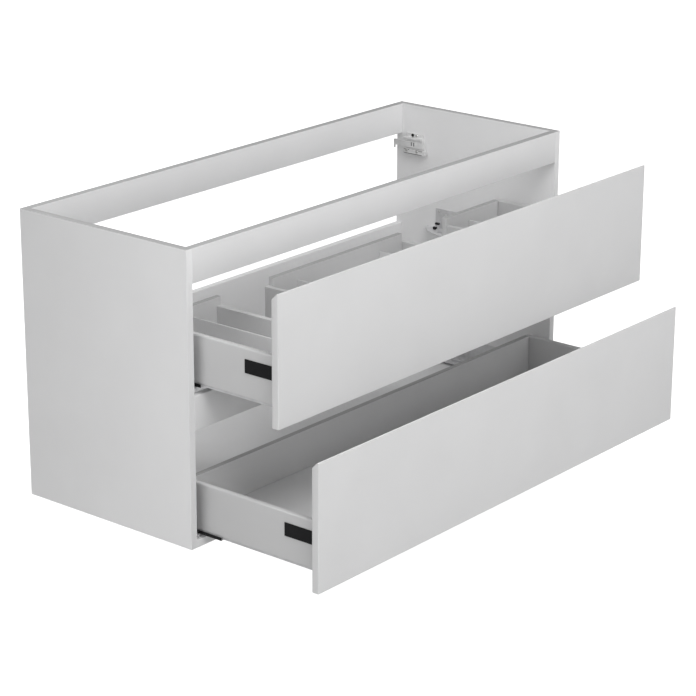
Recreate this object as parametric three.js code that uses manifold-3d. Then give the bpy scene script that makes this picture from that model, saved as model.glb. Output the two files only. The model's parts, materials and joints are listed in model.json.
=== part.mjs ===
// Wall-hung bathroom vanity cabinet with two full-width drawers. Millimetres, +Z up.
// X runs along the width, the wall is the plane Y = 0 and the drawers open towards -Y.
// Heights are worked out from the underside of the carcass. The finished group is then lowered,
// so that the origin is the middle of the rear top rail's back face, which bears on the wall.
// The drawers are part-open: the upper one by 205 mm and the lower one by 300 mm.
import * as THREE from "three";
import { mergeVertices } from "three/addons/utils/BufferGeometryUtils.js";
import Module from "manifold-3d";

const wasm = await Module();
wasm.setup();

// Carcass
const WIDTH = 1200;
const DEPTH = 443;
const HEIGHT = 600;
const BOARD = 16;
const RAIL_HEIGHT = 69;
const MIDDLE_RAIL_BOTTOM = 240;
const BACK_PANEL_TOP = 316;
const HALF = WIDTH / 2;
const INNER_HALF = HALF - BOARD;
const CARCASS_FRONT = -DEPTH;

// Drawer fronts: the back of the top edge is bevelled as a finger grip
const FRONT_HEIGHT = 260;
const GRIP_BEVEL = 13;
const CLOSED_GAP = 2;

// Drawer boxes: double-walled metal sides, board base and backs
const BOX_LENGTH = 350;
const SIDE_INSET = 32;
const SIDE_BOTTOM = 31;
const SIDE_HEIGHT = 96.5;
const SIDE_THICK = 12;
const SIDE_RADIUS = 4;
const SHEET = 2;
const FOOT_WIDTH = 16;
const FOOT_BOTTOM = 1;
const BASE_BOTTOM = 3;
const BASE_THICK = 10;
const BACK_THICK = 12;
const SIDE_TOP = SIDE_BOTTOM + SIDE_HEIGHT;
const FLOOR_TOP = SIDE_BOTTOM + BASE_BOTTOM + BASE_THICK;
const BOX_HALF = HALF - SIDE_INSET - SIDE_THICK;
const FIT_GAP = 0.3;

// Siphon cut-outs of the upper drawer, one under each basin outlet
const CUT_NEAR = 209;
const CUT_FAR = 365;
const CUT_START = 150;
const SURROUND_THICK = 12;
const SURROUND_TOP = 110;

// Dividers of the upper drawer, as distances from the middle of the cabinet
const DIVIDER_PLACES = { inner: 132, outer: 448 };
const DIVIDER_THICK = 3;
const DIVIDER_TOP = 106;

// Cover caps on the outside of the drawer sides
const CAP_START = 8;
const CAP_END = 93;
const CAP_BOTTOM = 78.5;
const CAP_HEIGHT = 27.5;
const CAP_PROUD = 1.4;

// Runners, as distances inward from the side panel and up from the drawer side's underside
const FLANGE_TOP = 38;
const FLANGE_END = 326;
const LEDGE_BOTTOM = -10.2;
const LEDGE_END = 352;
const LEDGE_WIDTH = 50;
const RAIL_FRONT = 3;
const MID_RAIL = { near: 14, far: 34, bottom: -7.4, top: -2, start: 100, end: 400 };
const RAIL_STOP = { near: 14, far: 23, length: 22, lip: -4, shoulder: -1, neck: 4.5, top: 9.5 };
const DRAWER_RAIL = { near: 17, far: 31, bottom: -5.2, start: 8, end: 342 };

// Wall hangers on the side panels, just in front of the rear top rail
const HANGER = { start: -90, end: -28, bottom: 488.5, top: 535, plateThick: 3.5 };
const HANGER_DEPTH = 14;
const HOOK = { start: -86, end: -1, bottom: 503.5, top: 517.5, tip: 496, thick: 3 };
const HOOK_PLAY = 4.5;
const SCREW_RADIUS = 3.6;

const DRAWERS = {
  upper: { frontBottom: 300, opened: 205 },
  lower: { frontBottom: 0, opened: 300 },
};

const standard = (color, roughness, metalness) =>
  new THREE.MeshStandardMaterial({ color, roughness, metalness });
const MATERIALS = {
  lacquer: standard(0xe6e6e6, 0.45, 0),
  sideMetal: standard(0xd2d3d5, 0.4, 0.3),
  blackPlastic: standard(0x1b1b1c, 0.5, 0),
  steel: standard(0xc4c6c8, 0.35, 0.9),
};

const cabinet = new THREE.Group();

function addMesh(name, geometry, material) {
  const mesh = new THREE.Mesh(geometry, material);
  mesh.name = name;
  cabinet.add(mesh);
}

// A box given by its lowest and highest corner.
function box([x0, y0, z0], [x1, y1, z1]) {
  const geometry = new THREE.BoxGeometry(x1 - x0, y1 - y0, z1 - z0);
  return geometry.translate((x0 + x1) / 2, (y0 + y1) / 2, (z0 + z1) / 2);
}

// A box given on the right-hand side of the cabinet, drawn on the side that sign names.
function sidedBox(sign, [x0, y0, z0], [x1, y1, z1]) {
  const low = Math.min(sign * x0, sign * x1);
  const high = Math.max(sign * x0, sign * x1);
  return box([low, y0, z0], [high, y1, z1]);
}

function solidOf(geometry) {
  const bare = geometry.clone().deleteAttribute("normal").deleteAttribute("uv");
  const merged = mergeVertices(bare, 1e-4);
  const vertProperties = new Float32Array(merged.attributes.position.array);
  const triVerts = new Uint32Array(merged.index.array);
  return new wasm.Manifold(new wasm.Mesh({ numProp: 3, vertProperties, triVerts }));
}

function geometryOf(solid) {
  const { vertProperties, triVerts } = solid.getMesh();
  const geometry = new THREE.BufferGeometry();
  geometry.setAttribute("position", new THREE.BufferAttribute(vertProperties, 3));
  geometry.setIndex(new THREE.BufferAttribute(triVerts, 1));
  return geometry.toNonIndexed();
}

function cut(geometry, ...tools) {
  const solid = tools.reduce((rest, tool) => rest.subtract(solidOf(tool)), solidOf(geometry));
  return geometryOf(solid);
}

function join(geometry, ...others) {
  const solid = others.reduce((whole, other) => whole.add(solidOf(other)), solidOf(geometry));
  return geometryOf(solid);
}

function outline(points) {
  return new THREE.Shape(points.map(([u, v]) => new THREE.Vector2(u, v)));
}

// Extrudes an XZ outline from y0 to y1. The outline is given for the right-hand side, and
// mirrored for the left.
function alongY(sign, shape, y0, y1) {
  const geometry = new THREE.ExtrudeGeometry(shape, {
    depth: y1 - y0,
    bevelEnabled: false,
    curveSegments: 4,
  });
  geometry.rotateX(Math.PI / 2).translate(0, y1, 0);
  return sign > 0 ? geometry : mirrored(geometry);
}

// Mirrors a closed geometry in the plane X = 0 and turns its faces out again.
function mirrored(geometry) {
  const flipped = geometry.index ? geometry.toNonIndexed() : geometry;
  flipped.scale(-1, 1, 1);
  const { array } = flipped.attributes.position;
  for (let i = 0; i < array.length; i += 9)
    for (let k = 0; k < 3; k++)
      [array[i + 3 + k], array[i + 6 + k]] = [array[i + 6 + k], array[i + 3 + k]];
  return flipped;
}

// Extrudes a YZ outline from x0 to x1.
function alongX(shape, x0, x1) {
  const geometry = new THREE.ExtrudeGeometry(shape, { depth: x1 - x0, bevelEnabled: false });
  geometry.rotateX(Math.PI / 2).rotateZ(Math.PI / 2);
  return geometry.translate(x0, 0, 0);
}

function addCarcass() {
  const add = (name, low, high) => addMesh(name, box(low, high), MATERIALS.lacquer);
  const railBottom = HEIGHT - RAIL_HEIGHT;
  add("left_side_panel", [-HALF, CARCASS_FRONT, 0], [-INNER_HALF, 0, HEIGHT]);
  add("right_side_panel", [INNER_HALF, CARCASS_FRONT, 0], [HALF, 0, HEIGHT]);
  add("bottom_panel", [-INNER_HALF, CARCASS_FRONT, 0], [INNER_HALF, -BOARD, BOARD]);
  add("lower_back_panel", [-INNER_HALF, -BOARD, 0], [INNER_HALF, 0, BACK_PANEL_TOP]);
  add("rear_top_rail", [-INNER_HALF, -BOARD, railBottom], [INNER_HALF, 0, HEIGHT]);
  const frontRail = (name, bottom) => {
    const back = CARCASS_FRONT + BOARD;
    add(name, [-INNER_HALF, CARCASS_FRONT, bottom], [INNER_HALF, back, bottom + RAIL_HEIGHT]);
  };
  frontRail("front_top_rail", railBottom);
  frontRail("front_middle_rail", MIDDLE_RAIL_BOTTOM);
}

// The hanger guides a flat hook between two lips, and its upper plate is screwed to the side panel.
function addHanger(side, sign) {
  const at = (inward) => INNER_HALF - inward;
  const guide = HANGER_DEPTH - HOOK.thick - 0.5;
  const profile = outline([
    [at(0), HANGER.bottom],
    [at(0), HANGER.top],
    [at(HANGER.plateThick), HANGER.top],
    [at(HANGER.plateThick), HOOK.top + HOOK_PLAY + 4],
    [at(HANGER_DEPTH), HOOK.top + HOOK_PLAY + 4],
    [at(HANGER_DEPTH), HOOK.top + HOOK_PLAY],
    [at(guide), HOOK.top + HOOK_PLAY],
    [at(guide), HOOK.bottom - HOOK_PLAY],
    [at(HANGER_DEPTH), HOOK.bottom - HOOK_PLAY],
    [at(HANGER_DEPTH), HANGER.bottom],
  ]);
  const body = alongY(sign, profile, HANGER.start, HANGER.end);
  addMesh("hanger_body_" + side, body, MATERIALS.steel);

  const hook = outline([
    [HOOK.start, HOOK.bottom],
    [HOOK.end - 4, HOOK.bottom],
    [HOOK.end - 4, HOOK.tip],
    [HOOK.end, HOOK.tip],
    [HOOK.end, HOOK.top - 2],
    [HOOK.end - 2, HOOK.top],
    [HOOK.start, HOOK.top],
  ]);
  const plate = alongX(hook, at(HANGER_DEPTH), at(HANGER_DEPTH - HOOK.thick));
  addMesh("hanger_hook_" + side, sign > 0 ? plate : mirrored(plate), MATERIALS.steel);

  // A cross-head screw holds the upper plate.
  const screwY = -49;
  const screwZ = (HOOK.top + HOOK_PLAY + 4 + HANGER.top) / 2;
  const face = HANGER.plateThick + FIT_GAP;
  const head = new THREE.CylinderGeometry(SCREW_RADIUS, SCREW_RADIUS, 2.4, 20);
  head.rotateZ(Math.PI / 2).translate(sign * at(face + 1.2), screwY, screwZ);
  const slotAt = (halfY, halfZ) =>
    sidedBox(
      sign,
      [at(face + 4), screwY - halfY, screwZ - halfZ],
      [at(face + 1.2), screwY + halfY, screwZ + halfZ],
    );
  const screw = cut(head, slotAt(2.4, 0.5), slotAt(0.5, 2.4));
  addMesh("hanger_screw_" + side, screw, MATERIALS.steel);
}

// Runner members of one side of one drawer. The cabinet rail is screwed to the side panel, the
// middle rail with its stop goes half as far as the drawer, and the drawer rail goes with it.
function addRunner(drawerName, { frontBottom, opened }, side, sign) {
  const datum = frontBottom + SIDE_BOTTOM;
  const name = (piece) => `${drawerName}_${piece}_${side}`;
  const at = (inward) => INNER_HALF - inward;

  const flange = sidedBox(
    sign,
    [at(SHEET), CARCASS_FRONT + RAIL_FRONT, datum + LEDGE_BOTTOM],
    [at(0), CARCASS_FRONT + FLANGE_END, datum + FLANGE_TOP],
  );
  const ledgePlan = outline([
    [at(0), CARCASS_FRONT + RAIL_FRONT],
    [at(0), CARCASS_FRONT + LEDGE_END],
    [at(12), CARCASS_FRONT + LEDGE_END - 4],
    [at(34), CARCASS_FRONT + LEDGE_END - 27],
    [at(LEDGE_WIDTH), CARCASS_FRONT + LEDGE_END - 68],
    [at(LEDGE_WIDTH), CARCASS_FRONT + RAIL_FRONT + 44],
    [at(10), CARCASS_FRONT + RAIL_FRONT],
  ]);
  const flat = new THREE.ExtrudeGeometry(ledgePlan, { depth: SHEET, bevelEnabled: false });
  flat.translate(0, 0, datum + LEDGE_BOTTOM);
  const ledge = sign > 0 ? flat : mirrored(flat);
  addMesh(name("cabinet_rail"), join(flange, ledge), MATERIALS.steel);

  const midTop = datum + MID_RAIL.top;
  const midBottom = datum + MID_RAIL.bottom;
  const midProfile = outline([
    [at(MID_RAIL.near), midTop],
    [at(MID_RAIL.near), midBottom],
    [at(MID_RAIL.far), midBottom],
    [at(MID_RAIL.far), midTop],
    [at(MID_RAIL.far - 1.5), midTop],
    [at(MID_RAIL.far - 1.5), midBottom + 1.5],
    [at(MID_RAIL.near + 1.5), midBottom + 1.5],
    [at(MID_RAIL.near + 1.5), midTop],
  ]);
  const midShift = CARCASS_FRONT - opened / 2;
  const mid = alongY(sign, midProfile, midShift + MID_RAIL.start, midShift + MID_RAIL.end);
  addMesh(name("middle_rail"), mid, MATERIALS.steel);

  // A moulded stop closes the middle rail's rear end and hooks over it.
  const stopStart = midShift + MID_RAIL.end + FIT_GAP;
  const stopEnd = midShift + MID_RAIL.end + RAIL_STOP.length;
  const stopPart = (start, end, low, high) =>
    sidedBox(sign, [at(RAIL_STOP.far), start, low], [at(RAIL_STOP.near), end, high]);
  const stop = join(
    stopPart(stopStart, stopEnd, midBottom, datum + RAIL_STOP.lip),
    stopPart(stopEnd - 9, stopEnd, midBottom, datum + RAIL_STOP.shoulder),
    stopPart(stopEnd - 9, stopEnd - 5.5, midBottom, datum + RAIL_STOP.top),
    stopPart(stopEnd - 18, stopEnd - 5.5, datum + RAIL_STOP.neck, datum + RAIL_STOP.top),
  );
  addMesh(name("rail_stop"), stop, MATERIALS.blackPlastic);

  const boxFront = CARCASS_FRONT - CLOSED_GAP - opened;
  const drawerRail = sidedBox(
    sign,
    [at(DRAWER_RAIL.far), boxFront + DRAWER_RAIL.start, datum + DRAWER_RAIL.bottom],
    [at(DRAWER_RAIL.near), boxFront + DRAWER_RAIL.end, datum - FIT_GAP],
  );
  addMesh(name("drawer_rail"), drawerRail, MATERIALS.steel);
}

// An inverted channel with rounded shoulders and a foot that carries the base.
function sideProfile(bottom) {
  const outer = HALF - SIDE_INSET;
  const inner = outer - SIDE_THICK;
  const top = bottom + SIDE_HEIGHT;
  const shape = new THREE.Shape();
  shape.moveTo(outer, bottom);
  shape.lineTo(outer, top - SIDE_RADIUS);
  shape.absarc(outer - SIDE_RADIUS, top - SIDE_RADIUS, SIDE_RADIUS, 0, Math.PI / 2);
  shape.absarc(inner + SIDE_RADIUS, top - SIDE_RADIUS, SIDE_RADIUS, Math.PI / 2, Math.PI);
  shape.lineTo(inner, bottom + BASE_BOTTOM);
  shape.lineTo(inner - FOOT_WIDTH, bottom + BASE_BOTTOM);
  shape.lineTo(inner - FOOT_WIDTH, bottom + FOOT_BOTTOM);
  shape.lineTo(inner + SHEET, bottom + FOOT_BOTTOM);
  shape.lineTo(inner + SHEET, top - SIDE_RADIUS);
  shape.lineTo(outer - SHEET, top - SIDE_RADIUS);
  shape.lineTo(outer - SHEET, bottom);
  return shape;
}

// Front, sides, cover caps and brackets, which both drawers share.
function addDrawerShell(drawerName, { frontBottom, opened }) {
  const back = CARCASS_FRONT - CLOSED_GAP - opened;
  const bottom = frontBottom + SIDE_BOTTOM;
  const frontTop = frontBottom + FRONT_HEIGHT;
  const front = outline([
    [back - BOARD, frontBottom],
    [back, frontBottom],
    [back, frontTop - GRIP_BEVEL],
    [back - GRIP_BEVEL, frontTop],
    [back - BOARD, frontTop],
  ]);
  addMesh(drawerName + "_front", alongX(front, -HALF, HALF), MATERIALS.lacquer);

  for (const [side, sign] of [["left", -1], ["right", 1]]) {
    const name = (piece) => `${drawerName}_${piece}_${side}`;
    const outer = HALF - SIDE_INSET;
    const profile = sideProfile(bottom);
    const metal = alongY(sign, profile, back + FIT_GAP, back + BOX_LENGTH);
    addMesh(name("side"), metal, MATERIALS.sideMetal);

    const capBottom = frontBottom + CAP_BOTTOM;
    const cap = sidedBox(
      sign,
      [outer + FIT_GAP, back + CAP_START, capBottom],
      [outer + FIT_GAP + CAP_PROUD, back + CAP_END, capBottom + CAP_HEIGHT],
    );
    addMesh(name("cover_cap"), cap, MATERIALS.blackPlastic);

    // The front is held by a bracket inside the hollow side.
    const hollowNear = outer - SHEET - FIT_GAP;
    const hollowFar = outer - SIDE_THICK + SHEET + FIT_GAP;
    const bracket = sidedBox(
      sign,
      [hollowFar, back + FIT_GAP, bottom + 25],
      [hollowNear, back + 70, bottom + SIDE_HEIGHT - SIDE_RADIUS - 2],
    );
    addMesh(name("front_bracket"), bracket, MATERIALS.steel);

    // The back is held by an angle that comes out of the hollow side and laps behind it.
    const web = sidedBox(
      sign,
      [outer - 7, back + BOX_LENGTH - 30, bottom + 14],
      [outer - 5, back + BOX_LENGTH + FIT_GAP + SHEET, bottom + 70],
    );
    const lap = sidedBox(
      sign,
      [outer - 44, back + BOX_LENGTH + FIT_GAP, bottom + 14],
      [outer - 5, back + BOX_LENGTH + FIT_GAP + SHEET, bottom + 70],
    );
    addMesh(name("rear_bracket"), join(web, lap), MATERIALS.steel);
  }
}

function drawerBase({ frontBottom, opened }) {
  const back = CARCASS_FRONT - CLOSED_GAP - opened;
  const top = frontBottom + FLOOR_TOP;
  const half = BOX_HALF - FIT_GAP;
  return box([-half, back + 0.5, top - BASE_THICK], [half, back + BOX_LENGTH, top]);
}

function addLowerDrawer(drawer) {
  const back = CARCASS_FRONT - CLOSED_GAP - drawer.opened;
  const floor = drawer.frontBottom + FLOOR_TOP;
  const half = BOX_HALF - FIT_GAP;
  addDrawerShell("lower", drawer);
  addMesh("lower_base", drawerBase(drawer), MATERIALS.lacquer);
  const wall = box(
    [-half, back + BOX_LENGTH - BACK_THICK, floor],
    [half, back + BOX_LENGTH, drawer.frontBottom + SIDE_TOP],
  );
  addMesh("lower_back", wall, MATERIALS.lacquer);
}

function addUpperDrawer(drawer) {
  const back = CARCASS_FRONT - CLOSED_GAP - drawer.opened;
  const floor = drawer.frontBottom + FLOOR_TOP;
  const wallTop = drawer.frontBottom + SIDE_TOP;
  const rear = back + BOX_LENGTH;
  const half = BOX_HALF - FIT_GAP;
  addDrawerShell("upper", drawer);

  const cutNear = CUT_NEAR + SURROUND_THICK;
  const hole = (sign) =>
    sidedBox(sign, [cutNear, back + CUT_START, floor - 20], [CUT_FAR, rear + 1, floor + 1]);
  addMesh("upper_base", cut(drawerBase(drawer), hole(-1), hole(1)), MATERIALS.lacquer);

  const addBack = (name, x0, x1) => {
    const wall = box([x0, rear - BACK_THICK, floor], [x1, rear, wallTop]);
    addMesh(name, wall, MATERIALS.lacquer);
  };
  addBack("upper_back_left", -half, -CUT_FAR);
  addBack("upper_back_middle", -CUT_NEAR, CUT_NEAR);
  addBack("upper_back_right", CUT_FAR, half);

  const surroundTop = drawer.frontBottom + SURROUND_TOP;
  const dividerTop = drawer.frontBottom + DIVIDER_TOP;
  for (const [side, sign] of [["left", -1], ["right", 1]]) {
    // Three walls round each cut-out, open towards the wall. The near one covers the end of the
    // middle back, and the far one stops in front of the outer back.
    const start = back + CUT_START - SURROUND_THICK;
    const end = rear - BACK_THICK - FIT_GAP;
    const whole = sidedBox(
      sign,
      [CUT_NEAR + FIT_GAP, start, floor],
      [CUT_FAR + SURROUND_THICK, rear, surroundTop],
    );
    const inside = sidedBox(
      sign,
      [cutNear, back + CUT_START, floor - 1],
      [CUT_FAR, rear + 1, surroundTop + 1],
    );
    const behind = sidedBox(
      sign,
      [CUT_FAR - 1, end, floor - 1],
      [CUT_FAR + SURROUND_THICK + 1, rear + 1, surroundTop + 1],
    );
    addMesh("siphon_surround_" + side, cut(whole, inside, behind), MATERIALS.lacquer);

    for (const [place, distance] of Object.entries(DIVIDER_PLACES)) {
      const divider = sidedBox(
        sign,
        [distance - DIVIDER_THICK / 2, back + 2, floor],
        [distance + DIVIDER_THICK / 2, end, dividerTop],
      );
      addMesh(`upper_divider_${place}_${side}`, divider, MATERIALS.sideMetal);
    }
  }
}

addCarcass();
addUpperDrawer(DRAWERS.upper);
addLowerDrawer(DRAWERS.lower);
for (const [side, sign] of [["left", -1], ["right", 1]]) {
  addHanger(side, sign);
  for (const [drawerName, drawer] of Object.entries(DRAWERS))
    addRunner(drawerName, drawer, side, sign);
}

cabinet.position.z = RAIL_HEIGHT / 2 - HEIGHT;

export default cabinet;
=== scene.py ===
"""Looks of a wall-hung bathroom vanity cabinet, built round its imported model. Metres, +Z up."""

import json
import math

import bmesh
import bpy
from mathutils import Matrix, Vector


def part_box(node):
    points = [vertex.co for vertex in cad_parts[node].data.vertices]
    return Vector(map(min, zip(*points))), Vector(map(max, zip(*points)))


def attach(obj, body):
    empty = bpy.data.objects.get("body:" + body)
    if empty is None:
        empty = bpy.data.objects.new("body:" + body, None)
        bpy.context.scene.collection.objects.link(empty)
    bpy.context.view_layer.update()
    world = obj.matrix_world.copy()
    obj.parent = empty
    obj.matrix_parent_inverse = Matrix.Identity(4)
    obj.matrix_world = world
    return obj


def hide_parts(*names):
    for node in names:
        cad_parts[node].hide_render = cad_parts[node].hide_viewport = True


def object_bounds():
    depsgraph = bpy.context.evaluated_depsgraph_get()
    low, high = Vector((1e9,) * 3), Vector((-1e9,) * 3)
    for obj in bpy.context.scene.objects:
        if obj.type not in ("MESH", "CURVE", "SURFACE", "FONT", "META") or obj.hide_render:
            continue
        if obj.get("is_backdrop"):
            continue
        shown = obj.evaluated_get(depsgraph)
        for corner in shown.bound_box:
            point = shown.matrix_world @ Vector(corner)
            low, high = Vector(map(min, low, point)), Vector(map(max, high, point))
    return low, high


SIDES = {"left": -1, "right": 1}
DRAWERS = ("upper", "lower")

# Edge roundings of the boards
CARCASS_ROUND = 0.0006
FRONT_ROUND = 0.0014
DRAWER_BOARD_ROUND = 0.0008

# Screws: head radius, and the rail screws' places from the flange's rear end and top
RAIL_SCREW_RADIUS = 0.003
RAIL_SCREW_PLACES = ((0.010, 0.006), (0.029, 0.013), (0.285, 0.008))
RAIL_SHEET = 0.0021
RAIL_HOOK_LENGTH = 0.026
PLATE_SCREW_RADIUS = 0.0036
PLATE_SCREW_PITCH = 0.012
ADJUSTER_RADIUS = 0.0040
ADJUSTER_HEIGHT = 0.0012
ADJUSTER_RISE = 0.0075

# Hanger: places along Y, and the rise of its seams above the housing's underside
ADJUSTER_PLACES = (-0.0385, -0.0690)
WORM_PLACES = (-0.0530, -0.0600)
SEAMS = ((-0.083, -0.031, 0.0006), (-0.084, -0.068, 0.0091), (-0.047, -0.031, 0.0091))
SEAM_HEIGHT = 0.0011
SLOPE_DEPTH = 0.02
SLOPE_SHIFT = 0.014
SLOPE_START = 0.3

# Moulded guide on the middle rail, its black partly painted shadow: its length, and its inner and
# outer face from the rail's flank
GUIDE_LENGTH = 0.08
GUIDE_GAP = 0.0001
GUIDE_REACH = 0.0012

# Rear stop of the middle rail: its faces across the rail, and each part's places from its rear end
STOP_NEAR = 0.0012
STOP_FAR = 0.0072
LOWER_BLOCK_START = 0.0085
LOWER_BLOCK_HEIGHT = 0.0062
UPPER_BLOCK_START = 0.0165
UPPER_BLOCK_END = 0.0058
UPPER_BLOCK_HEIGHT = 0.0046
STRIP_END = 0.0088
STRIP_THICK = 0.0015
TONGUE_START = 0.0078
TONGUE_END = 0.0062
STRIP_CLEARANCE = 0.0003

# Studio
FLOOR_SIZE = 30
FLOOR_DROP = 0.22
SKY_HORIZON = 0.28
SKY_ZENITH = 0.30
LIGHT_SIZE = 2.6
LIGHTS = {
    "key_light": ((-2.2, -4.2, 2.6), 50),
    "front_light": ((0.6, -5.0, 0.8), 40),
    "left_light": ((-4.4, 0.2, 1.6), 42),
    "high_light": ((-1.5, -2.6, 4.0), 100),
    "back_light": ((1.5, 3.8, 2.2), 30),
}
CAMERA_PLACE = (-3.72695, -3.40183, 1.31676)
CAMERA_TURN = (71.0914, -0.1725, -50.4954)
CAMERA_LENS = 126.107
CAMERA_SENSOR = 36

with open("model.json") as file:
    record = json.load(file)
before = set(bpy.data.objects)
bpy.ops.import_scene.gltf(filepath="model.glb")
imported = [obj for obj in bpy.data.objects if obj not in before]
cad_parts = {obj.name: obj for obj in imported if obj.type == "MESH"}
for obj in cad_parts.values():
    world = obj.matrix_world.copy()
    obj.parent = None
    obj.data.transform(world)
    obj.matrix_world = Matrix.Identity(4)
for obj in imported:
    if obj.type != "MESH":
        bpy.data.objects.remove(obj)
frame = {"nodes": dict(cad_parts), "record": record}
cad_low, cad_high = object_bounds()
BODY_OF = {
    node: body
    for body, nodes in frame["record"]["behaviour"]["bodies"].items()
    for node in nodes
}
SLOT_OF = {row["node"]: row["material_slot"] for row in frame["record"]["subparts"]}


# ---- Materials -------------------------------------------------------------------------------


class Nodes:
    """A material's node tree, with the shader at its end and object coordinates at its start."""

    def __init__(self, name):
        self.material = bpy.data.materials.new(name)
        self.material.use_nodes = True
        self.tree = self.material.node_tree
        self.shader = self.tree.nodes["Principled BSDF"]
        self.coords = self.add("ShaderNodeTexCoord").outputs["Object"]

    def add(self, kind, **settings):
        node = self.tree.nodes.new(kind)
        for key, value in settings.items():
            setattr(node, key, value)
        return node

    def link(self, source, target):
        self.tree.links.new(source, target)

    def noise(self, scale, detail=2.0, stretch=(1, 1, 1)):
        mapping = self.add("ShaderNodeMapping")
        mapping.inputs["Scale"].default_value = stretch
        self.link(self.coords, mapping.inputs["Vector"])
        texture = self.add("ShaderNodeTexNoise")
        texture.inputs["Scale"].default_value = scale
        texture.inputs["Detail"].default_value = detail
        self.link(mapping.outputs["Vector"], texture.inputs["Vector"])
        return texture.outputs["Fac"]

    def spread(self, value, low, high, start=0.3, end=0.7):
        """Maps the texture values from start to end onto low to high."""
        node = self.add("ShaderNodeMapRange")
        node.inputs["From Min"].default_value = start
        node.inputs["From Max"].default_value = end
        node.inputs["To Min"].default_value = low
        node.inputs["To Max"].default_value = high
        self.link(value, node.inputs["Value"])
        return node.outputs["Result"]

    def colour(self, value, dark, light):
        ramp = self.add("ShaderNodeValToRGB")
        ramp.color_ramp.elements[0].position = 0.3
        ramp.color_ramp.elements[1].position = 0.7
        ramp.color_ramp.elements[0].color = (*dark, 1)
        ramp.color_ramp.elements[1].color = (*light, 1)
        self.link(value, ramp.inputs["Fac"])
        self.link(ramp.outputs["Color"], self.shader.inputs["Base Color"])

    def bump(self, value, distance, strength=1.0):
        node = self.add("ShaderNodeBump")
        node.inputs["Distance"].default_value = distance
        node.inputs["Strength"].default_value = strength
        self.link(value, node.inputs["Height"])
        self.link(node.outputs["Normal"], self.shader.inputs["Normal"])


def shade(colour, factor):
    return tuple(channel * factor for channel in colour)


def finish_material(name, colour, roughness, mottle=0.015, grain=900, relief=4e-5, **shader):
    """A coated surface: faint cloudy tone, patchy gloss and a fine grain."""
    nodes = Nodes(name)
    nodes.colour(nodes.noise(7, 3), shade(colour, 1 - mottle), shade(colour, 1 + mottle))
    gloss = nodes.spread(nodes.noise(45, 3), roughness - 0.04, roughness + 0.05)
    nodes.link(gloss, nodes.shader.inputs["Roughness"])
    nodes.bump(nodes.noise(grain, 2), relief)
    for socket, value in shader.items():
        nodes.shader.inputs[socket.replace("_", " ")].default_value = value
    return nodes.material


def metal_material(
    name, colour, roughness, streaks=(420, 6, 420), relief=2e-5, metallic=1.0
):
    """Plated sheet with fine rolling marks along Y."""
    nodes = Nodes(name)
    marks = nodes.noise(1, 3, streaks)
    nodes.colour(nodes.noise(60, 4), shade(colour, 0.9), shade(colour, 1.06))
    gloss = nodes.spread(marks, roughness - 0.07, roughness + 0.1)
    nodes.link(gloss, nodes.shader.inputs["Roughness"])
    nodes.bump(marks, relief)
    nodes.shader.inputs["Metallic"].default_value = metallic
    return nodes.material


def grey(value):
    return (value, value, value * 1.004)


MATERIALS = {
    "carcass_board": finish_material("carcass_lacquer", grey(0.84), 0.45, Coat_Weight=0.05),
    "front_board": finish_material("front_lacquer", grey(0.76), 0.42, Coat_Weight=0.08),
    "drawer_board": finish_material(
        "drawer_melamine", grey(0.70), 0.5, mottle=0.02, grain=1400, relief=6e-5
    ),
    "side_metal": finish_material(
        "side_powder_coat", grey(0.66), 0.38, grain=2200, relief=3e-5, Metallic=0.15
    ),
    # The dividers take the sides' powder coat made lighter: painted light for the shaded inside of
    # the upper drawer.
    "divider_metal": finish_material(
        "divider_coat_painted_light", grey(0.80), 0.38, grain=2200, relief=3e-5, Metallic=0.15
    ),
    "runner_steel": metal_material("runner_zinc", (0.66, 0.66, 0.67), 0.5, metallic=0.35),
    "hanger_metal": metal_material("hanger_zinc", (0.80, 0.80, 0.80), 0.42, metallic=0.45),
    "screw_metal": metal_material("screw_plating", (0.78, 0.78, 0.77), 0.22, (200, 200, 200)),
    # Black moulding for the stops and worm; its strips in the hanger's seams are painted shade,
    # and on the rail guides it is partly painted shadow.
    "black_plastic": finish_material(
        "black_moulding_and_shade",
        (0.006, 0.006, 0.007),
        0.6,
        mottle=0.1,
        grain=2600,
        relief=8e-5,
        Specular_IOR_Level=0.25,
    ),
}
EDGE_BAND = finish_material("edge_band", grey(0.86), 0.48, grain=1800, relief=3e-5)
# Darker copy of the edge finish for the upward narrow faces of the cabinet's top boards: painted
# shade for the weak light from above.
TOP_EDGE_SHADE = finish_material("top_edge_painted_shade", grey(0.48), 0.55, grain=1800, relief=3e-5)
# Darker finish for the drawer boards' upward narrow faces: painted shade.
DRAWER_TOP_SHADE = finish_material("drawer_top_painted_shade", grey(0.45), 0.55, grain=1800, relief=3e-5)
DARK_STEEL = metal_material("dark_plate_screw", (0.04, 0.04, 0.04), 0.35)


# ---- Pieces ----------------------------------------------------------------------------------


def new_piece(name, bm, body, slot, *nodes, materials=None):
    """Makes a mesh a named piece that rides a body and stands for the given CAD nodes."""
    mesh = bpy.data.meshes.new(name)
    bm.to_mesh(mesh)
    bm.free()
    piece = bpy.data.objects.new(name, mesh)
    bpy.context.scene.collection.objects.link(piece)
    for material in materials or [MATERIALS[slot]]:
        mesh.materials.append(material)
    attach(piece, body)
    if nodes:
        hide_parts(*nodes)
    return piece


def soften(piece, radius, segments=3, angle=30):
    """Rounds every sharp edge with real geometry."""
    for polygon in piece.data.polygons:
        polygon.use_smooth = True
    bevel = piece.modifiers.new("rounded_edges", "BEVEL")
    bevel.width = radius
    bevel.segments = segments
    bevel.limit_method = "ANGLE"
    bevel.angle_limit = math.radians(angle)
    bevel.harden_normals = True
    bevel.miter_outer = "MITER_ARC"
    return piece


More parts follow.
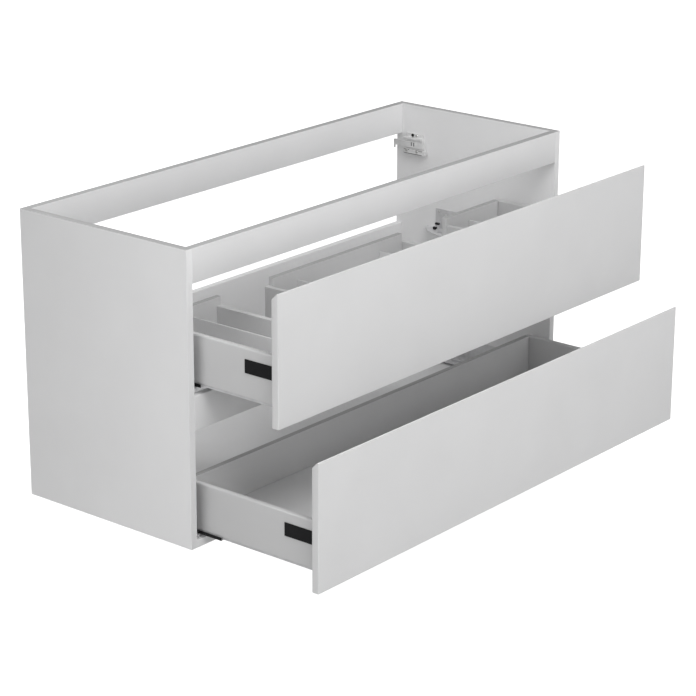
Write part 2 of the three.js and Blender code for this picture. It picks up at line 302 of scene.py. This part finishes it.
def solid_of(node):
    """The CAD node's solid with its flat faces whole."""
    bm = bmesh.new()
    bm.from_mesh(frame["nodes"][node].data)
    bmesh.ops.remove_doubles(bm, verts=bm.verts, dist=1e-6)
    bmesh.ops.dissolve_limit(
        bm, angle_limit=math.radians(1), verts=bm.verts, edges=bm.edges
    )
    bmesh.ops.recalc_face_normals(bm, faces=bm.faces)
    return bm


def refined(node, radius, segments=3, edges=None, top=None, angle=30):
    """A rounded copy of a CAD node. A board's narrow edges can have a finish of their own, and its
    upward narrow faces a darker one, which is painted shade.
    """
    bm = solid_of(node)
    slot = SLOT_OF[node]
    base = MATERIALS[slot]
    size = [high - low for low, high in zip(*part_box(node))]
    thin = size.index(min(size))
    # Upward narrow faces take the top finish, which is painted shade where one is given; the other
    # narrow faces take the edge finish.
    for face in bm.faces:
        if abs(face.normal[thin]) < 0.9:
            face.material_index = 2 if face.normal.z > 0.9 else 1
    materials = [base, edges or base, top or edges or base]
    piece = new_piece(node + "_finished", bm, BODY_OF[node], slot, node, materials=materials)
    return soften(piece, radius, segments, angle)


def lathe(bm, profile, place, steps=20):
    """Turns (radius, height) points round the local Z axis, closes the first ring and returns the
    last one.
    """
    rings = []
    for radius, height in profile:
        ring = [
            bm.verts.new(
                place
                @ Vector(
                    (
                        radius * math.cos(math.tau * k / steps),
                        radius * math.sin(math.tau * k / steps),
                        height,
                    )
                )
            )
            for k in range(steps)
        ]
        rings.append(ring)
    for lower, upper in zip(rings, rings[1:]):
        for k in range(steps):
            bm.faces.new((lower[k], lower[k - 1], upper[k - 1], upper[k]))
    bm.faces.new(rings[0])
    return rings[-1]


def screw(name, centre, axis, radius, body, height=None, node=None, finish=None):
    """A pan-head screw with a cross recess, standing on centre and facing along axis."""
    height = height or radius * 0.55
    turn = Vector((0, 0, 1)).rotation_difference(Vector(axis)).to_matrix().to_4x4()
    place = Matrix.Translation(centre) @ turn
    bm = bmesh.new()
    profile = [(radius * 0.96, 0), (radius, height * 0.3)]
    for step in range(1, 5):
        bend = math.radians(18 * step)
        reach = radius * (0.62 + 0.38 * math.cos(bend))
        profile.append((reach, height * (0.3 + 0.7 * math.sin(bend))))
    rim = lathe(bm, profile, place, 24)
    arm, half = radius * 0.52, radius * 0.11
    top = height * 0.99
    corners = []
    for quarter in range(4):
        spin = Matrix.Rotation(quarter * math.pi / 2, 4, "Z")
        for x, y in ((half, half), (arm, half), (arm, -half)):
            corners.append(spin @ Vector((x, y, top)))
    ordered = sorted(corners, key=lambda p: math.atan2(p.y, p.x))
    recess = [bm.verts.new(place @ p) for p in ordered]
    edges = [bm.edges.new((recess[k - 1], recess[k])) for k in range(len(recess))]
    rim_edges = [bm.edges.get((rim[k - 1], rim[k])) for k in range(len(rim))]
    bmesh.ops.triangle_fill(bm, edges=edges + rim_edges, use_beauty=True)
    sunk = Vector((0, 0, height * 0.8))
    bottom = [bm.verts.new(place @ (p * 0.8 - sunk)) for p in ordered]
    for k in range(len(bottom)):
        bm.faces.new((recess[k - 1], recess[k], bottom[k], bottom[k - 1]))
    bm.faces.new(bottom)
    bmesh.ops.recalc_face_normals(bm, faces=bm.faces)
    replaced = [node] if node else []
    materials = [finish] if finish else None
    piece = new_piece(name, bm, body, "screw_metal", *replaced, materials=materials)
    for polygon in piece.data.polygons:
        polygon.use_smooth = True
    piece.data.set_sharp_from_angle(angle=math.radians(40))


def block(bm, low, high):
    """Adds a box between two corners."""
    low, high = (Vector(map(pick, low, high)) for pick in (min, max))
    size = high - low
    place = Matrix.Translation((low + high) / 2) @ Matrix.Diagonal((*size, 1))
    bmesh.ops.create_cube(bm, size=1, matrix=place)


def rail_guides(drawer, side):
    """The moulded guides on both flanks of the middle rail's front end, in black that also stands
    for the shadowed gap under the drawer side: painted shadow.
    """
    rail = f"{drawer}_middle_rail_{side}"
    low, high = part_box(rail)
    bm = bmesh.new()
    for flank, outward in ((low.x, -1), (high.x, 1)):
        near = flank + outward * GUIDE_GAP
        far = flank + outward * GUIDE_REACH
        front = (near, low.y - 0.001, low.z + 0.0002)
        block(bm, front, (far, low.y + GUIDE_LENGTH, high.z + 0.0014))
    guides = new_piece(f"{drawer}_rail_guide_and_shadow_{side}", bm, BODY_OF[rail], "black_plastic")
    soften(guides, 0.0003, 2)


def rail_stop(drawer, side, sign):
    """The middle rail's rear stop: two moulded blocks on a bent strip."""
    node = f"{drawer}_rail_stop_{side}"
    low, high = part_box(node)
    outer = high.x if sign > 0 else low.x
    near, far = outer - sign * STOP_NEAR, outer - sign * STOP_FAR
    lower_top = low.z + LOWER_BLOCK_HEIGHT
    upper_bottom = high.z - UPPER_BLOCK_HEIGHT
    bm = bmesh.new()
    block(bm, (near, high.y - LOWER_BLOCK_START, low.z), (far, high.y, lower_top))
    upper_start = (near, high.y - UPPER_BLOCK_START, upper_bottom)
    block(bm, upper_start, (far, high.y - UPPER_BLOCK_END, high.z))
    stop = new_piece(node + "_blocks", bm, BODY_OF[node], "black_plastic", node)
    soften(stop, 0.0009, 3)
    bm = bmesh.new()
    block(bm, (outer, low.y, low.z), (far, high.y - STRIP_END, low.z + STRIP_THICK))
    tongue_start = (near, high.y - TONGUE_START, lower_top + STRIP_CLEARANCE)
    tongue_end = (far, high.y - TONGUE_END, upper_bottom - STRIP_CLEARANCE)
    block(bm, tongue_start, tongue_end)
    strip = new_piece(node + "_strip", bm, BODY_OF[node], "runner_steel")
    soften(strip, 0.0002, 2)


def hanger(side, sign):
    """The hanger's housing with its sloping front, fixing screws, adjusters and worm."""
    body = refined("hanger_body_" + side, 0.0008)
    low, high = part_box("hanger_body_" + side)
    for vertex in body.data.vertices:
        rise = (vertex.co.z - low.z) / (high.z - low.z)
        if vertex.co.y < low.y + SLOPE_DEPTH and rise > SLOPE_START:
            vertex.co.y += SLOPE_SHIFT * (rise - SLOPE_START) / (1 - SLOPE_START)
    face = low.x if sign > 0 else high.x
    inward = (-sign, 0, 0)

    # Fixing screws through the upper plate; the first is dark, the second plated
    foot_low, foot_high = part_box("hanger_screw_" + side)
    middle = (foot_low + foot_high) / 2
    foot = foot_high.x if sign > 0 else foot_low.x
    for number, shift in ((1, 0), (2, -PLATE_SCREW_PITCH)):
        screw(
            f"hanger_plate_screw_{side}_{number}",
            (foot, middle.y + shift, middle.z),
            inward,
            PLATE_SCREW_RADIUS,
            "cabinet",
            node="hanger_screw_" + side if number == 1 else None,
            finish=DARK_STEEL if number == 1 else None,
        )

    # Depth and height adjusters in the lower lip
    for number, y in enumerate(ADJUSTER_PLACES, 1):
        screw(
            f"hanger_adjuster_{side}_{number}",
            (face, y, low.z + ADJUSTER_RISE),
            inward,
            ADJUSTER_RADIUS,
            "cabinet",
            height=ADJUSTER_HEIGHT,
        )

    # Black strips in the seams where the folded sheet turns round the hook: painted shade in the
    # gaps
    bm = bmesh.new()
    for start, end, rise in SEAMS:
        level = low.z + rise
        sunk, proud = face + sign * 0.0006, face - sign * 0.0002
        block(bm, (sunk, start, level), (proud, end, level + SEAM_HEIGHT))
    seam_shade = new_piece("hanger_seam_shade_" + side, bm, "cabinet", "black_plastic")
    soften(seam_shade, 0.0002, 2)

    # Worm of the height adjuster, seen on the hook's face
    hook_low, hook_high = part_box("hanger_hook_" + side)
    hook_face = hook_low.x if sign > 0 else hook_high.x
    bm = bmesh.new()
    for y in WORM_PLACES:
        block(
            bm,
            (hook_face + sign * 0.0004, y - 0.0009, hook_low.z + 0.0115),
            (hook_face - sign * 0.0005, y + 0.0009, hook_high.z - 0.0015),
        )
    worm = new_piece("hanger_worm_" + side, bm, "wall_hook_" + side, "black_plastic")
    soften(worm, 0.0003, 2)


CARCASS = (
    "left_side_panel",
    "right_side_panel",
    "bottom_panel",
    "lower_back_panel",
    "rear_top_rail",
    "front_top_rail",
    "front_middle_rail",
)
for node in CARCASS:
    # Boards at the cabinet's top get darker upward edges: painted shade.
    at_top = abs(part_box(node)[1].z - cad_high.z) < 0.001
    refined(node, CARCASS_ROUND, edges=EDGE_BAND, top=TOP_EDGE_SHADE if at_top else None)
for drawer in DRAWERS:
    refined(drawer + "_front", FRONT_ROUND, 5)

DRAWER_BOARDS = (
    "upper_base",
    "upper_back_left",
    "upper_back_middle",
    "upper_back_right",
    "siphon_surround_left",
    "siphon_surround_right",
    "lower_base",
    "lower_back",
)
for node in DRAWER_BOARDS:
    # Upward edges of the drawer boards are darker: painted shade.
    refined(node, DRAWER_BOARD_ROUND, top=DRAWER_TOP_SHADE)
for side in SIDES:
    for place in ("inner", "outer"):
        refined(f"upper_divider_{place}_{side}", 0.001)
    refined("hanger_hook_" + side, 0.0006)
    for drawer in DRAWERS:
        refined(f"{drawer}_side_{side}", 0.0005, 2)
        refined(f"{drawer}_cover_cap_{side}", 0.0006)
        for piece in ("front_bracket", "rear_bracket", "drawer_rail"):
            refined(f"{drawer}_{piece}_{side}", 0.0004, 2)
        for piece in ("middle_rail", "cabinet_rail"):
            refined(f"{drawer}_{piece}_{side}", 0.0003, 2)

for side, sign in SIDES.items():
    # Screws of the cabinet rails, near the rear end and behind the front
    for drawer in DRAWERS:
        low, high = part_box(f"{drawer}_cabinet_rail_{side}")
        face = low.x + RAIL_SHEET if sign < 0 else high.x - RAIL_SHEET
        flange_end = high.y - RAIL_HOOK_LENGTH
        for number, (back, down) in enumerate(RAIL_SCREW_PLACES, 1):
            screw(
                f"{drawer}_rail_screw_{side}_{number}",
                (face, flange_end - back, high.z - down),
                (-sign, 0, 0),
                RAIL_SCREW_RADIUS,
                "cabinet",
            )
    hanger(side, sign)
    for drawer in DRAWERS:
        rail_guides(drawer, side)
        rail_stop(drawer, side, sign)


# ---- Floor, light and camera -----------------------------------------------------------------


def floor():
    bm = bmesh.new()
    bmesh.ops.create_grid(bm, x_segments=1, y_segments=1, size=FLOOR_SIZE)
    mesh = bpy.data.meshes.new("floor")
    bm.to_mesh(mesh)
    bm.free()
    plane = bpy.data.objects.new("floor", mesh)
    bpy.context.scene.collection.objects.link(plane)
    plane.location.z = cad_low.z - FLOOR_DROP
    material = bpy.data.materials.new("floor_paper")
    material.use_nodes = True
    shader = material.node_tree.nodes["Principled BSDF"]
    shader.inputs["Base Color"].default_value = (0.6, 0.6, 0.6, 1)
    shader.inputs["Roughness"].default_value = 0.9
    shader.inputs["Specular IOR Level"].default_value = 0.1
    shader.inputs["Emission Color"].default_value = (1, 1, 1, 1)
    seen = material.node_tree.nodes.new("ShaderNodeLightPath").outputs["Is Camera Ray"]
    material.node_tree.links.new(seen, shader.inputs["Emission Strength"])
    mesh.materials.append(material)
    plane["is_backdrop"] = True


def area_light(name, place, target, power):
    light = bpy.data.lights.new(name, "AREA")
    light.shape = "SQUARE"
    light.size = LIGHT_SIZE
    light.energy = power
    lamp = bpy.data.objects.new(name, light)
    bpy.context.scene.collection.objects.link(lamp)
    lamp.location = place
    lamp.rotation_mode = "QUATERNION"
    lamp.rotation_quaternion = (Vector(target) - Vector(place)).to_track_quat("-Z", "Y")


floor()
middle = (cad_low + cad_high) / 2
for name, (place, power) in LIGHTS.items():
    area_light(name, place, middle, power)

world = bpy.data.worlds.new("studio")
bpy.context.scene.world = world
world.use_nodes = True
sky = world.node_tree
background = sky.nodes["Background"]
background.inputs["Color"].default_value = (1, 1, 1, 1)
coords = sky.nodes.new("ShaderNodeTexCoord")
direction = sky.nodes.new("ShaderNodeSeparateXYZ")
height = sky.nodes.new("ShaderNodeMapRange")
height.inputs["To Min"].default_value = SKY_HORIZON
height.inputs["To Max"].default_value = SKY_ZENITH
sky.links.new(coords.outputs["Generated"], direction.inputs["Vector"])
sky.links.new(direction.outputs["Z"], height.inputs["Value"])
sky.links.new(height.outputs["Result"], background.inputs["Strength"])
bpy.context.scene.view_settings.view_transform = "Standard"

camera_data = bpy.data.cameras.new("camera")
camera_data.sensor_width = CAMERA_SENSOR
camera_data.lens = CAMERA_LENS
camera_data.clip_end = 100
camera = bpy.data.objects.new("camera", camera_data)
bpy.context.scene.collection.objects.link(camera)
camera.location = CAMERA_PLACE
camera.rotation_euler = [math.radians(angle) for angle in CAMERA_TURN]
bpy.context.scene.camera = camera

low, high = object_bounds()
